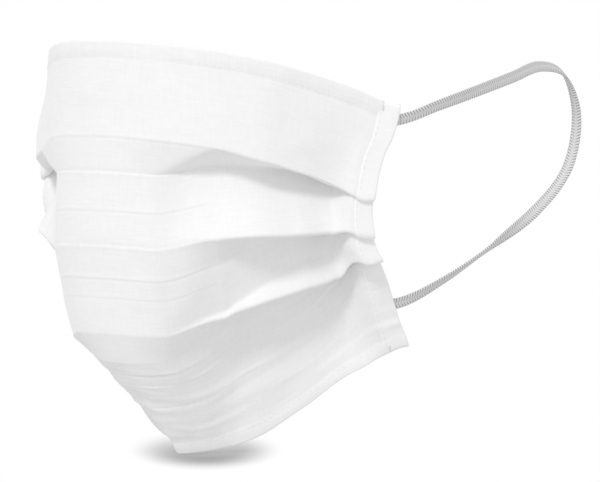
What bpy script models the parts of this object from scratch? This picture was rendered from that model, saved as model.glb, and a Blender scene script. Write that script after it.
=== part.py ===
# Pleated cotton face mask in its worn form, with two elastic ear loops.
#
# Frame: metres, +Z up. The front of the mask faces -Y, and the wearer's left is
# +X. The origin is where the top edge sits on the bridge of the nose.
#
# The cloth is worked out as it is sewn. A plan curve runs round the face, and at
# every station along it a line of cloth is walked from the top edge down to the
# bottom edge, panel by panel, through three pleats. The pleats lie shut at the
# side bands and open flat at the middle of the face.

import math

import bmesh
import bpy
from mathutils import Vector

MM = 0.001

# Driving dimensions of the sewn mask
FLAT_WIDTH = 198 * MM
CLOTH_HEIGHT = 164 * MM
CLOTH_WALL = 1.0 * MM
HEM_WALL = 1.5 * MM
GAP = 0.3 * MM
TOP_HEM_HEIGHT = 6.2 * MM
BOTTOM_HEM_HEIGHT = 5.4 * MM
SIDE_HEM_WIDTH = 7.5 * MM

# Driving dimensions of the worn form
FRONT_TURN = math.radians(51)
ROUND_SHARE = 0.88
SIDE_DROP = 23 * MM

# Driving dimensions of the elastic
ELASTIC_WIDTH = 4.0 * MM
ELASTIC_THICKNESS = 1.0 * MM
ELASTIC_TUCK = 6.0 * MM
UPPER_SEAM = 5.4 * MM
LOWER_SEAM = 16 * MM

HALF_WIDTH = FLAT_WIDTH / 2

# Stations across half the mask, as shares of half its flat width. Past the last one
# the stitched band lies flat, so the leans and reaches keep their last values there.
STATIONS = (0.00, 0.20, 0.40, 0.55, 0.70, 0.83, 0.92)

# The cloth from the top edge down. Each row holds a stretch's name, its share of the
# cloth's height, and its lean in degrees at each station: 0 runs straight down, a
# plus leans out, -90 runs straight in and -180 runs back up. What is left of the
# height is panel_d, which runs straight to the bottom edge.
STRETCHES = (
    ("panel_a", 0.207, (4, 4, 6, 8, 8, 7, 6)),
    ("under_1", 0.078, (-2, -12, -58, -76, -98, -133, -180)),
    ("panel_b", 0.160, (0, 2, 23, 28, 28, 18, 2)),
    ("under_2", 0.072, (-6, -12, -45, -71, -98, -119, -180)),
    ("panel_c_upper", 0.0625, (-8, -14, -34, -15, 0, 4, 0)),
    ("panel_c_lower", 0.0625, (-14, -8, 16, 29, 15, 8, 0)),
    ("under_3", 0.072, (-26, -42, -72, -88, -98, -130, -180)),
)

# The pleats on the wearer's right stay open further out, and the bottom edge there
# rises nearer the chin, each by its own power
RIGHT_PLEAT_EASE = 1.55
RIGHT_EDGE_EASE = 1.3

# Stations of the two edges' drops, which go on changing over the stitched band
EDGE_STATIONS = (0.00, 0.20, 0.40, 0.55, 0.70, 0.85, 1.00)

# Drop and reach of the top edge, as shares of the side drop
TOP_EDGE_DROP = (0.00, 0.04, 0.15, 0.29, 0.49, 0.74, 1.00)
TOP_EDGE_REACH = (0.00, -0.02, -0.06, -0.10, -0.14, -0.16, -0.16)

# Drop and reach of the bottom edge, as shares of the cloth's height
BOTTOM_EDGE_DROP = (0.925, 0.921, 0.913, 0.888, 0.825, 0.738, 0.682)
BOTTOM_EDGE_REACH = (-0.225, -0.254, -0.276, -0.250, -0.210, -0.170, -0.128)

# How far the side edge is pulled back towards the ear, as a share of half the
# flat width. The rows go down the side edge from its upper corner to its lower.
SIDE_PULL = (
    (0.00, 0.072),
    (0.12, 0.044),
    (0.20, 0.006),
    (0.30, -0.020),
    (0.42, -0.036),
    (0.54, -0.020),
    (0.62, 0.018),
    (0.70, 0.052),
    (0.85, 0.106),
    (1.00, 0.159),
)

# Free route of the left elastic, from the side band's upper corner over and behind
# the ear to the band's lower corner: shares of half the flat width to the wearer's
# left, back and up. The right one mirrors it.
ELASTIC_ROUTE = (
    (0.869, 0.788, -0.240),
    (0.891, 1.010, -0.198),
    (0.897, 1.212, -0.163),
    (0.891, 1.404, -0.134),
    (0.889, 1.576, -0.176),
    (0.885, 1.667, -0.333),
    (0.879, 1.616, -0.525),
    (0.864, 1.434, -0.667),
    (0.836, 1.192, -0.780),
    (0.783, 0.939, -0.894),
)

# Turn of the elastic's flat side along its way, in degrees from lying on edge
# round the ear. Its two ends take their turn from the band instead.
ELASTIC_TURNS = (
    (0.20, 84),
    (0.36, 60),
    (0.50, 0),
    (0.66, -40),
    (0.80, -88),
)

STEPS_PER_FOLD = 4
STEPS_PER_STRETCH = {"panel_a": 5, "panel_b": 4, "panel_d": 6}
STEPS_PER_SHORT_STRETCH = 2
PLAN_STEP = 0.5 * MM
ELASTIC_STEP = 4.0 * MM
CURVE_STEPS = 20
TUCK_STEPS = 4
PANEL_SECTIONS = 17
SIDE_HEM_SECTIONS = 3


def read_table(stations, values, place):
    """Value of a short table at a place, eased smoothly between its rows."""
    place = min(max(place, stations[0]), stations[-1])
    last = len(stations) - 1
    i = 0
    while i < last - 1 and place > stations[i + 1]:
        i += 1

    def slope(k):
        if k == 0 or k == last:
            return 0.0
        before = (values[k] - values[k - 1]) / (stations[k] - stations[k - 1])
        after = (values[k + 1] - values[k]) / (stations[k + 1] - stations[k])
        if before * after <= 0:
            return 0.0
        return 2 * before * after / (before + after)

    width = stations[i + 1] - stations[i]
    t = (place - stations[i]) / width
    start = values[i]
    end = values[i + 1]
    start_slope = slope(i) * width
    end_slope = slope(i + 1) * width
    return (
        (2 * t**3 - 3 * t**2 + 1) * start
        + (t**3 - 2 * t**2 + t) * start_slope
        + (3 * t**2 - 2 * t**3) * end
        + (t**3 - t**2) * end_slope
    )


def plan_turn(distance):
    """Direction of the plan curve at a distance from the middle of the face."""
    share = min(distance / (HALF_WIDTH * ROUND_SHARE), 1.0)
    return FRONT_TURN * math.sin(share * math.pi / 2)


def plan_point(along):
    """Point of the plan curve and its outward normal, at a signed distance."""
    side = -1.0 if along < 0 else 1.0
    distance = abs(along)
    steps = max(1, round(distance / PLAN_STEP))
    step = distance / steps
    x = 0.0
    y = 0.0
    for i in range(steps):
        turn = plan_turn((i + 0.5) * step)
        x += math.cos(turn) * step
        y += math.sin(turn) * step
    turn = plan_turn(distance)
    normal = Vector((side * math.sin(turn), -math.cos(turn), 0.0))
    return Vector((side * x, y, 0.0)), normal


def fold_length(wall):
    """Cloth taken up by a fold that is shut, its layers a gap apart."""
    return math.pi * (wall + GAP) / 2


def stretch_leans(share, right):
    """Lean of each stretch above panel_d at a station."""
    place = eased_place(share, RIGHT_PLEAT_EASE) if right else share
    return [math.radians(read_table(STATIONS, row[2], place)) for row in STRETCHES]


def eased_place(share, power):
    """A place across the mask, shifted by a power short of the stitched band."""
    band = STATIONS[-1]
    return share if share > band else band * (share / band) ** power


def walk_cloth(share, wall, right=False):
    """Middle line of the cloth at one station: rows of (length, out, down, lean)."""
    out = read_table(STATIONS, TOP_EDGE_REACH, share) * SIDE_DROP
    down = read_table(EDGE_STATIONS, TOP_EDGE_DROP, share) * SIDE_DROP
    edge_place = eased_place(share, 1 / RIGHT_EDGE_EASE) if right else share
    edge_out = read_table(STATIONS, BOTTOM_EDGE_REACH, edge_place) * CLOTH_HEIGHT
    edge_down = read_table(EDGE_STATIONS, BOTTOM_EDGE_DROP, edge_place) * CLOTH_HEIGHT
    fold = fold_length(wall)
    leans = stretch_leans(share, right)
    length = 0.0
    line = [(length, out, down, leans[0])]
    for k, (name, height_share, _) in enumerate(STRETCHES):
        straight = height_share * CLOTH_HEIGHT - (fold if k else fold / 2)
        if k == len(STRETCHES) - 1:
            # The last fold turns towards the bottom edge
            rest_out = edge_out - out - math.sin(leans[k]) * straight
            rest_down = edge_down - down - math.cos(leans[k]) * straight
            leans.append(math.atan2(rest_out, rest_down))
        steps = STEPS_PER_STRETCH.get(name, STEPS_PER_SHORT_STRETCH)
        if k == 0:
            under_hem = (straight - TOP_HEM_HEIGHT) / (steps - 1)
            moves = [(TOP_HEM_HEIGHT, leans[k])] + [(under_hem, leans[k])] * (steps - 1)
        else:
            moves = [(straight / steps, leans[k])] * steps
        change = (leans[k + 1] - leans[k]) / STEPS_PER_FOLD
        for j in range(STEPS_PER_FOLD):
            moves.append((fold / STEPS_PER_FOLD, leans[k] + (j + 0.5) * change))
        for i, (move, lean) in enumerate(moves):
            out += math.sin(lean) * move
            down += math.cos(lean) * move
            length += move
            turned = max(0, i - steps + 1)
            line.append((length, out, down, leans[k] + turned * change))
    steps = STEPS_PER_STRETCH["panel_d"]
    straight = CLOTH_HEIGHT - length
    way = math.atan2(edge_out - out, edge_down - down)
    above_hem = 1.0 - BOTTOM_HEM_HEIGHT / straight
    for i in range(1, steps + 1):
        t = above_hem * i / (steps - 1) if i < steps else 1.0
        row = (length + straight * t, out + (edge_out - out) * t, down + (edge_down - down) * t)
        line.append((*row, way))
    return line


def cut_line(line, start, end):
    """Part of a walked line between two lengths, with its two new ends."""

    def at(length):
        for before, after in zip(line, line[1:]):
            if before[0] <= length <= after[0]:
                t = (length - before[0]) / (after[0] - before[0])
                return tuple(a + (b - a) * t for a, b in zip(before, after))
        return line[-1]

    spare = CLOTH_WALL / 4
    inner = [row for row in line if start + spare < row[0] < end - spare]
    return [at(start)] + inner + [at(end)]


def side_edge_height():
    """Height of the side edge, where every pleat is shut."""
    shares = {name: height_share for name, height_share, _ in STRETCHES}
    hidden = shares["under_1"] + shares["under_2"] + shares["under_3"]
    return (1.0 - 2 * hidden) * CLOTH_HEIGHT


def side_pull(share, down):
    """How far a point of the cloth is pulled along the plan towards the ear."""
    places = [row[0] for row in SIDE_PULL]
    pulls = [row[1] for row in SIDE_PULL]
    place = (down - SIDE_DROP) / side_edge_height()
    return read_table(places, pulls, place) * HALF_WIDTH * share**2


def cloth_section(along, wall, start, end):
    """Closed loop of points round the cloth's wall at one station."""
    share = min(abs(along) / HALF_WIDTH, 1.0)
    side = -1.0 if along < 0 else 1.0
    front = []
    back = []
    for _, out, down, lean in cut_line(walk_cloth(share, wall, side < 0), start, end):
        pulled = abs(along) + side_pull(share, down)
        point, normal = plan_point(side * max(pulled, 0.0))
        across = Vector((math.cos(lean), math.sin(lean)))
        for loop, sign in ((front, 0.5), (back, -0.5)):
            reach = out + across.x * wall * sign
            depth = down - across.y * wall * sign
            loop.append(point + normal * reach + Vector((0.0, 0.0, -depth)))
    return front + back[::-1]


def cloth_frame(along, height, inset):
    """A point inside the cloth at a station, with the ways down and out of it."""
    share = min(along / HALF_WIDTH, 1.0)
    _, out, down, lean = cut_line(walk_cloth(share, HEM_WALL), height, CLOTH_HEIGHT)[0]
    point, normal = plan_point(along + side_pull(share, down))
    up = Vector((0.0, 0.0, 1.0))
    way_down = normal * math.sin(lean) - up * math.cos(lean)
    way_out = normal * math.cos(lean) + up * math.sin(lean)
    return point + normal * out - up * down - way_out * inset, way_down


def smooth_route(points, first_way, last_way, step):
    """Evenly spaced points on a smooth curve that leaves and arrives as told."""
    before = points[0] - first_way * (points[1] - points[0]).length
    after = points[-1] + last_way * (points[-1] - points[-2]).length
    ends = [before] + points + [after]
    fine = []
    for a, b, c, d in zip(ends, ends[1:], ends[2:], ends[3:]):
        for i in range(CURVE_STEPS):
            t = i / CURVE_STEPS
            rise = (c - a) * t
            bend = (a * 2 - b * 5 + c * 4 - d) * t**2
            twist = (b * 3 - a - c * 3 + d) * t**3
            fine.append(b + (rise + bend + twist) / 2)
    fine.append(points[-1])
    lengths = [0.0]
    for a, b in zip(fine, fine[1:]):
        lengths.append(lengths[-1] + (b - a).length)
    count = max(2, round(lengths[-1] / step))
    route = []
    k = 0
    for i in range(count + 1):
        target = lengths[-1] * i / count
        while k < len(fine) - 2 and lengths[k + 1] < target:
            k += 1
        t = (target - lengths[k]) / (lengths[k + 1] - lengths[k])
        route.append(fine[k].lerp(fine[k + 1], t))
    return route


def tucked_end(height):
    """Points of the elastic behind the side band, inner end first, and their ways."""
    inset = HEM_WALL / 2 + GAP + ELASTIC_THICKNESS / 2
    tucked = HALF_WIDTH - ELASTIC_TUCK
    stations = spread(tucked, HALF_WIDTH + GAP, TUCK_STEPS)
    frames = [cloth_frame(along, height, inset) for along in stations]
    return [frame[0] for frame in frames], [frame[1] for frame in frames]


def turn_of(tangent, way):
    """Turn about the elastic's run that lays its width along the given way."""
    flat = flat_way(tangent)
    return math.degrees(math.atan2(way.dot(tangent.cross(flat)), way.dot(flat)))


def flat_way(tangent):
    """Way across the elastic where it lies on edge round the ear."""
    across = Vector((1.0, 0.0, 0.0))
    return (across - tangent * across.dot(tangent)).normalized()


def elastic_sections(side):
    """Cross-sections of one ear loop, on the wearer's left (1) or right (-1)."""
    upper, upper_ways = tucked_end(UPPER_SEAM)
    lower, lower_ways = tucked_end(CLOTH_HEIGHT - LOWER_SEAM)
    first_way = (upper[-1] - upper[-2]).normalized()
    last_way = (lower[-2] - lower[-1]).normalized()
    free = [Vector(row) * HALF_WIDTH for row in ELASTIC_ROUTE]
    free = [upper[-1]] + free + [lower[-1]]
    free = smooth_route(free, first_way, last_way, ELASTIC_STEP)
    route = upper[:-1] + free + lower[-2::-1]
    last = len(route) - 1
    tangents = []
    for i in range(last + 1):
        tangents.append((route[min(i + 1, last)] - route[max(i - 1, 0)]).normalized())
    ways = upper_ways + [None] * (len(free) - 2) + lower_ways[::-1]
    tuck_share = TUCK_STEPS / last
    first_turn = turn_of(tangents[TUCK_STEPS - 1], upper_ways[-1])
    last_turn = turn_of(tangents[last - TUCK_STEPS + 1], lower_ways[-1])
    places = [tuck_share] + [row[0] for row in ELASTIC_TURNS] + [1.0 - tuck_share]
    turns = [first_turn] + [row[1] for row in ELASTIC_TURNS] + [last_turn]
    sections = []
    for i, (point, tangent, way) in enumerate(zip(route, tangents, ways)):
        turn = turn_of(tangent, way) if way else read_table(places, turns, i / last)
        flat = flat_way(tangent)
        wide = flat * math.cos(math.radians(turn))
        wide += tangent.cross(flat) * math.sin(math.radians(turn))
        wide *= ELASTIC_WIDTH / 2
        thin = tangent.cross(wide).normalized() * ELASTIC_THICKNESS / 2
        loop = []
        for w, t in ((-1, -1), (0, -1), (1, -1), (1, 1), (0, 1), (-1, 1)):
            corner = point + wide * w + thin * t
            loop.append(Vector((side * corner.x, corner.y, corner.z)))
        sections.append(loop)
    return sections


def make_elastics(elastic):
    for name, side in (("ear_loop_left", 1), ("ear_loop_right", -1)):
        loft(name, elastic_sections(side), elastic)


def loft(name, sections, material):
    """Closed solid through matching loops of points, capped at both ends."""
    count = len(sections[0])
    half = count // 2
    points = [point for section in sections for point in section]
    faces = []
    for s in range(len(sections) - 1):
        for i in range(count):
            j = (i + 1) % count
            a = s * count + i
            b = s * count + j
            faces.append((a, a + count, b + count, b))
    for s, flip in ((0, False), (len(sections) - 1, True)):
        for i in range(half - 1):
            cap = [s * count + k for k in (i, i + 1, count - 2 - i, count - 1 - i)]
            faces.append(tuple(reversed(cap)) if flip else tuple(cap))
    mesh = bpy.data.meshes.new(name)
    mesh.from_pydata(points, [], faces)
    solid = bmesh.new()
    solid.from_mesh(mesh)
    bmesh.ops.recalc_face_normals(solid, faces=solid.faces)
    solid.to_mesh(mesh)
    solid.free()
    mesh.materials.append(material)
    piece = bpy.data.objects.new(name, mesh)
    bpy.context.scene.collection.objects.link(piece)
    return piece


def make_material(name, colour, roughness):
    material = bpy.data.materials.new(name)
    material.use_nodes = True
    shader = material.node_tree.nodes["Principled BSDF"]
    shader.inputs["Base Color"].default_value = (*colour, 1.0)
    shader.inputs["Roughness"].default_value = roughness
    shader.inputs["Metallic"].default_value = 0.0
    return material


def spread(first, last, count):
    """Evenly spaced values from first to last."""
    return [first + (last - first) * i / (count - 1) for i in range(count)]


def make_cloth(cotton):
    """The panel, the top and bottom hems, and a folded band at each side."""
    panel_end = HALF_WIDTH - SIDE_HEM_WIDTH - GAP
    across = spread(-panel_end, panel_end, 2 * PANEL_SECTIONS - 1)
    bottom_hem_start = CLOTH_HEIGHT - BOTTOM_HEM_HEIGHT
    stretches = (
        ("top_hem", HEM_WALL, 0.0, TOP_HEM_HEIGHT),
        ("pleated_panel", CLOTH_WALL, TOP_HEM_HEIGHT + GAP, bottom_hem_start - GAP),
        ("bottom_hem", HEM_WALL, bottom_hem_start, CLOTH_HEIGHT),
    )
    for name, wall, start, end in stretches:
        loft(name, [cloth_section(a, wall, start, end) for a in across], cotton)
    for name, side in (("side_hem_left", 1), ("side_hem_right", -1)):
        across = spread(HALF_WIDTH - SIDE_HEM_WIDTH, HALF_WIDTH, SIDE_HEM_SECTIONS)
        across = [side * a for a in across]
        across.sort()
        sections = [cloth_section(a, HEM_WALL, 0.0, CLOTH_HEIGHT) for a in across]
        loft(name, sections, cotton)


def clear_scene():
    for thing in list(bpy.data.objects):
        bpy.data.objects.remove(thing, do_unlink=True)


clear_scene()
make_cloth(make_material("white_cotton", (0.90, 0.90, 0.90), 0.85))
make_elastics(make_material("grey_elastic", (0.62, 0.62, 0.62), 0.80))
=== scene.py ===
# Looks of the pleated cotton face mask: fine cloth with its creases, stitched hems,
# thread, and braided elastics, on a pale floor in soft studio light.
#
# Frame: metres, +Z up. The front of the mask faces -Y, and the wearer's left is +X.
# The cloth is formed from the same cut as the solids on a finer grid. Some leans, the
# sag of the folds and the turn of the elastics lie closer to the photograph than the
# solids do, by up to about 4 mm.

import math

import bmesh
import bpy
import numpy as np
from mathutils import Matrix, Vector, noise


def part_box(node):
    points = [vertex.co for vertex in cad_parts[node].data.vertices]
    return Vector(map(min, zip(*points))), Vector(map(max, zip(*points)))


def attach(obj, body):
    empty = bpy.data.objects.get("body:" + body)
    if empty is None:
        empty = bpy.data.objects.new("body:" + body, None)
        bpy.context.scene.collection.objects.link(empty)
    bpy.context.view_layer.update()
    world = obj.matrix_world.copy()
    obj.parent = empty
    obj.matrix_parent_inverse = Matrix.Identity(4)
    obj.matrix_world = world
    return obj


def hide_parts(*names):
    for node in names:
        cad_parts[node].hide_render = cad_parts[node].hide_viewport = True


MM = 0.001

# The sewn mask, with the sizes that the solids have
FLAT_WIDTH = 198 * MM
CLOTH_HEIGHT = 164 * MM
CLOTH_WALL = 1.0 * MM
HEM_WALL = 1.5 * MM
GAP = 0.3 * MM
TOP_HEM_HEIGHT = 6.2 * MM
BOTTOM_HEM_HEIGHT = 5.4 * MM
SIDE_HEM_WIDTH = 7.5 * MM
HALF_WIDTH = FLAT_WIDTH / 2
BAND_START = HALF_WIDTH - SIDE_HEM_WIDTH
BOTTOM_HEM_START = CLOTH_HEIGHT - BOTTOM_HEM_HEIGHT

# How far the panel runs on into each hem
SEAM_OVERLAP = 2 * MM

# The worn form
FRONT_TURN = math.radians(51)
ROUND_SHARE = 0.88
SIDE_DROP = 23 * MM
PLAN_STEP = 0.25 * MM

# Stations across half the mask, as shares of half its flat width
STATIONS = (0.00, 0.20, 0.40, 0.55, 0.70, 0.83, 0.92)

# Stretches of the cloth from the top edge down, each with its share of the height and
# its lean in degrees at every station. What is left runs straight to the bottom edge.
STRETCHES = (
    ("panel_a", 0.207, (4, 4, 6, 8, 5, 3, 6)),
    ("under_1", 0.078, (-2, -12, -58, -76, -98, -133, -180)),
    ("panel_b", 0.160, (0, 2, 23, 28, 28, 18, 2)),
    ("under_2", 0.072, (-6, -12, -45, -71, -98, -119, -180)),
    ("panel_c_upper", 0.0625, (-8, -14, -24, -18, -8, 2, 0)),
    ("panel_c_lower", 0.0625, (-14, -8, 25, 32, 24, 12, 0)),
    ("under_3", 0.072, (-26, -42, -72, -88, -98, -130, -180)),
)
HIDDEN_SHARE = sum(row[1] for row in STRETCHES if row[0].startswith("under"))
SIDE_EDGE_HEIGHT = (1.0 - 2 * HIDDEN_SHARE) * CLOTH_HEIGHT

# The wearer's right side opens later than the left one. Powers that shift its places
# across the mask, one for each stretch and one for the bottom edge
RIGHT_PLEAT_EASES = (2.10, 2.10, 2.10, 1.90, 1.60, 1.50, 1.40)
RIGHT_EDGE_EASE = 1.3

# Places across the mask where each stretch turns from flat to open, at its upper and
# its lower end, and half the width of that turn
TURN_PLACES = (
    (0.30, 0.30, 0.12),
    (0.38, 0.18, 0.05),
    (0.30, 0.30, 0.17),
    (0.30, 0.30, 0.15),
    (0.32, 0.20, 0.07),
    (0.28, 0.28, 0.14),
    (0.30, 0.30, 0.16),
)

# Power that holds the pleats open until just short of the side band
SHUT_POWER = 1.5

# Cloth that a pressed fold turns in, and the turns between which a fold shuts
PRESSED_FOLD = 0.7 * MM
PRESSED_TURN = math.radians(60)
SHUT_TURN = math.radians(140)

# The folds sag beside the band, by these lengths in mm down the cloth's height. The
# sag begins nearer the middle the lower it lies, and dies away across the band.
SAG_PLACES = (0.000, 0.207, 0.445, 0.642, 0.800, 1.000)
SAGS = (0.0, 1.3, 1.0, 2.9, 1.8, 0.0)
SAG_START = 0.44
SAG_START_FALL = 0.30
SAG_RISE = 0.18
SAG_END = 0.925

# Upper edge of the third panel's lower half, as shares of the cloth's height at the
# stations, with the number of its fold
WEDGE_TOP = (0.638, 0.636, 0.628, 0.606, 0.585, 0.580, 0.5695)
WEDGE_FOLD = 4

# Drop and reach of the top edge, as shares of the side drop, and of the bottom edge,
# as shares of the cloth's height
EDGE_STATIONS = (0.00, 0.20, 0.40, 0.55, 0.70, 0.85, 1.00)
TOP_EDGE_DROP = (0.00, 0.04, 0.15, 0.29, 0.49, 0.74, 1.00)
TOP_EDGE_REACH = (0.00, -0.02, -0.06, -0.10, -0.14, -0.16, -0.16)
BOTTOM_EDGE_DROP = (0.925, 0.921, 0.913, 0.888, 0.825, 0.738, 0.682)
BOTTOM_EDGE_REACH = (-0.225, -0.254, -0.276, -0.250, -0.210, -0.170, -0.128)

# Pull of the side edge towards the ear, from its upper corner to its lower one
SIDE_PULL_PLACES = (0.00, 0.12, 0.20, 0.30, 0.42, 0.54, 0.62, 0.70, 0.85, 1.00)
SIDE_PULLS = (0.072, 0.044, 0.006, -0.020, -0.036, -0.020, 0.018, 0.052, 0.106, 0.159)

# Waves of noise on the cloth, each with its lengths across and down and its height in
# mm, and the seed of the noise
BODY_WAVES = (38, 30, 0.9, 3.7)
CREASE_DRIFT = (60, 60, 5, 8.1)
LONG_CREASES = ((90, 7.0, 0.52, 5.2), (90, 3.2, 0.32, 7.9))
TOP_PUCKERS = (7, 14, 0.34, 2.1)
BOTTOM_PUCKERS = (6, 14, 0.34, 4.4)
BAND_PUCKERS = (20, 8, 0.28, 9.6)
RESTLESS_WAVES = ((14, 7, 0.16, 6.3), (5, 2.6, 0.035, 4.9))

# Where the body's waves die out, as shares of half the width
BODY_WAVES_END = (1.0, 0.8)

# Cosines of the lean between which folded-under cloth turns to the front, for its
# creases and for the thickness of the side bands
CREASED_FACING = (-0.6, 0.0)
BAND_FACING = (-0.2, 0.3)

# Where the long creases of the lower panel begin and end, as shares down the cloth
CREASES_BEGIN = (0.70, 0.76)
CREASES_END = (0.985, 0.94)

# How far puckers reach from the stitching of the level hems and of the side bands
HEM_PUCKER_REACH = 5 * MM
BAND_PUCKER_REACH = 7 * MM

# Pressed lines, as shares of the cloth's height, with their height in mm and the
# share of half the width that they reach to
PRESS_LINES = (
    (0.207, 0.20, 0.42),
    (0.285, -0.22, 0.40),
    (0.368, 0.16, 0.42),
    (0.445, -0.20, 0.42),
    (0.517, 0.20, 0.40),
    (0.560, 0.12, 0.36),
    (0.752, 0.20, 0.45),
    (0.786, -0.18, 0.50),
    (0.850, 0.14, 0.60),
)
PRESS_STEP = 0.8 * MM
PRESS_RIDGE = 0.4 * MM
PRESS_FADE = 0.12
PRESS_WANDER = 0.3 * MM
PRESS_WANDER_WAVE = 40 * MM
PRESS_SEED = 1.3

# Hollow along the side band where the lower panel meets it
SINK_BEGINS = (0.76, 0.82)
SINK_INSET = 2.2 * MM
SINK_WIDTH = 2.6 * MM
SINK_DEPTH = 0.9 * MM

# Dents, each with its place across half the mask and down the cloth, its half width
# and half height as shares, and its depth in mm
DENTS = (
    (0.80, 0.195, 0.12, 0.060, 1.2),
    (0.62, 0.110, 0.05, 0.060, 0.5),
    (0.02, 0.100, 0.05, 0.080, 0.4),
    (-0.12, 0.110, 0.04, 0.060, -0.3),
    (0.60, 0.330, 0.10, 0.045, 0.6),
    (0.84, 0.390, 0.05, 0.040, 0.9),
    (0.45, 0.800, 0.14, 0.050, 0.6),
    (0.88, 0.790, 0.04, 0.050, 1.2),
    (-0.78, 0.140, 0.20, 0.050, -1.5),
    (-0.86, 0.400, 0.12, 0.035, -1.5),
    (-0.55, 0.830, 0.12, 0.060, 0.8),
)

# The elastic, with its free route as shares of half the cut width. Its turns about its
# own run, in degrees, stand at shares of its length.
ELASTIC_WIDTH = 4.0 * MM
ELASTIC_THICKNESS = 1.0 * MM
ELASTIC_TUCK = 6.0 * MM
UPPER_SEAM = 5.4 * MM
LOWER_SEAM = 16 * MM
ELASTIC_ROUTE = (
    (0.869, 0.788, -0.240),
    (0.891, 1.010, -0.198),
    (0.897, 1.212, -0.163),
    (0.891, 1.404, -0.134),
    (0.889, 1.576, -0.176),
    (0.885, 1.667, -0.333),
    (0.879, 1.616, -0.525),
    (0.864, 1.434, -0.667),
    (0.836, 1.192, -0.780),
    (0.783, 0.939, -0.894),
)
ELASTIC_TURN_PLACES = (0.20, 0.36, 0.50, 0.66, 0.74, 0.80, 0.88)
ELASTIC_TURNS = (84, 60, 0, -40, -98, -136, -120)
TUCK_POINTS = 8
TUCK_HELD = 0.9
CURVE_POINTS = 60

# Fineness of the grids
CLOTH_STEP = 1.0 * MM
FOLD_STEP = 0.30 * MM
NEAR_FOLD = 1.4 * MM
NEAR_PRESS_LINE = 1.1 * MM
WALK_STEP = 0.10 * MM
BRAID_STEP = 0.20 * MM
MERGE_DISTANCE = 1e-6

# A turned edge: its steps in mm at its rounded fold, then across it and at its end,
# how much fuller its middle is, how wide it thins out at its stitching, and the least
# share of its thickness at the two ends of a side band
HEM_FOLD_STEPS = (0.0, 0.03, 0.12, 0.28, 0.50, 0.75)
HEM_FLAT_START = 1.2 * MM
HEM_STEP = 0.55 * MM
HEM_END_STEP = 0.10 * MM
HEM_FULLNESS = 0.06 * MM
HEM_SLOPE = 3.0 * MM
BAND_SLOPE = 0.6 * MM
STITCHED_HALF = CLOTH_WALL / 2 + 0.015 * MM
BAND_END_LEAST = 0.02

# The stitching, with the places along one stitch, and the lift and girth of the thread
# there as shares of its radius. Lines of fewer points than the shortest are left out.
STITCH_PITCH = 2.5 * MM
STITCH_LENGTH = 1.6 * MM
THREAD_RADIUS = 0.10 * MM
THREAD_SIDES = 6
HEM_STITCH_INSET = 0.9 * MM
LINE_STEP = 0.5 * MM
LINE_START_GAP = 1.2 * MM
LINE_END_GAP = 0.6 * MM
SHORTEST_LINE = 6
STITCH_PLACES = (0.0, 0.12, 0.32, 0.5, 0.68, 0.88, 1.0)
STITCH_LIFTS = (-1.3, -0.2, 0.45, 0.6, 0.45, -0.2, -1.3)
STITCH_GIRTHS = (0.35, 0.85, 1.0, 1.0, 1.0, 0.85, 0.35)

# The braid of the elastic. The width of its middle groove and the start of its looped
# edge are shares of its half width.
RIB_PITCH = 1.15 * MM
RIB_HEIGHT = 0.20 * MM
RIB_SLANT = 0.75
RIB_CLOSING = 0.75
BRAID_SIDES = 24
BRAID_SQUARENESS = 0.55
GROOVE_WIDTH = 0.22
LOOPED_EDGE = 0.75
LOOP_REACH = 1.4

# Threads of the weave in each metre, the height of their crossings beside that of the
# thick threads, and the two ways that the thick threads run
THREADS = 2300.0
SLUB = 1.0
CROSSING_HEIGHT = 0.35
THICK_THREAD_SCALES = ((1300.0, 130.0, 1.0), (120.0, 1100.0, 1.0))

# Light from the surroundings, brighter from above, and the key light with its
# softness in degrees
LIGHT_FROM_BELOW = 0.68
LIGHT_FROM_ABOVE = 0.86
SEEN_WHITE = 1.05
KEY_WAY = (0.16, -0.80, 0.72)
KEY_SOFTNESS = 12.0
KEY_STRENGTH = 1.03

# The floor and the oval shadow painted on it, which is turned to the viewer
FLOOR_SIZE = 6.0
# Grey that the floor takes inside the painted shadow, where it no longer glows
PAINTED_SHADOW_GREY = 0.34
FLOOR_CLEARANCE = 0.2 * MM
SHADOW_PLACE = (-0.0016, 0.0542, 0.0)
SHADOW_SIZE = (0.0295, 0.055, 1.0)
SHADOW_CORE = 0.60
SHADOW_DEPTHS = (-0.6, 0.6)
SHADOW_STRENGTHS = (1.0, 0.2)

# The photograph's view, in degrees and metres, with the camera's sensor in mm
VIEW_TURN = 38.0
VIEW_RISE = 6.0
VIEW_DISTANCE = 1.6
VIEW_WIDTH = 0.216
VIEW_MIDDLE = (0.0, 0.03, -0.075)
VIEW_SHIFT_RIGHT = 47.8 * MM
VIEW_SHIFT_UP = 1.0 * MM
SENSOR_WIDTH = 36.0


def read_table(places, values, where):
    """Values of a short table at many places, eased smoothly between its rows."""
    places = np.asarray(places, float)
    values = np.asarray(values, float)
    where = np.clip(where, places[0], places[-1])
    steps = np.diff(places)
    rises = np.diff(values) / steps
    slopes = np.zeros(len(places))
    for k in range(1, len(places) - 1):
        before = rises[k - 1]
        after = rises[k]
        if before * after > 0:
            slopes[k] = 2 * before * after / (before + after)
    i = np.clip(np.searchsorted(places, where) - 1, 0, len(steps) - 1)
    t = (where - places[i]) / steps[i]
    width = steps[i]
    return (
        (2 * t**3 - 3 * t**2 + 1) * values[i]
        + (t**3 - 2 * t**2 + t) * slopes[i] * width
        + (3 * t**2 - 2 * t**3) * values[i + 1]
        + (t**3 - t**2) * slopes[i + 1] * width
    )


def smooth_step(start, end, value):
    """0 before the start, 1 past the end, whichever lies higher, with an even curve."""
    t = np.clip((value - start) / (end - start), 0.0, 1.0)
    return t * t * (3 - 2 * t)


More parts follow.
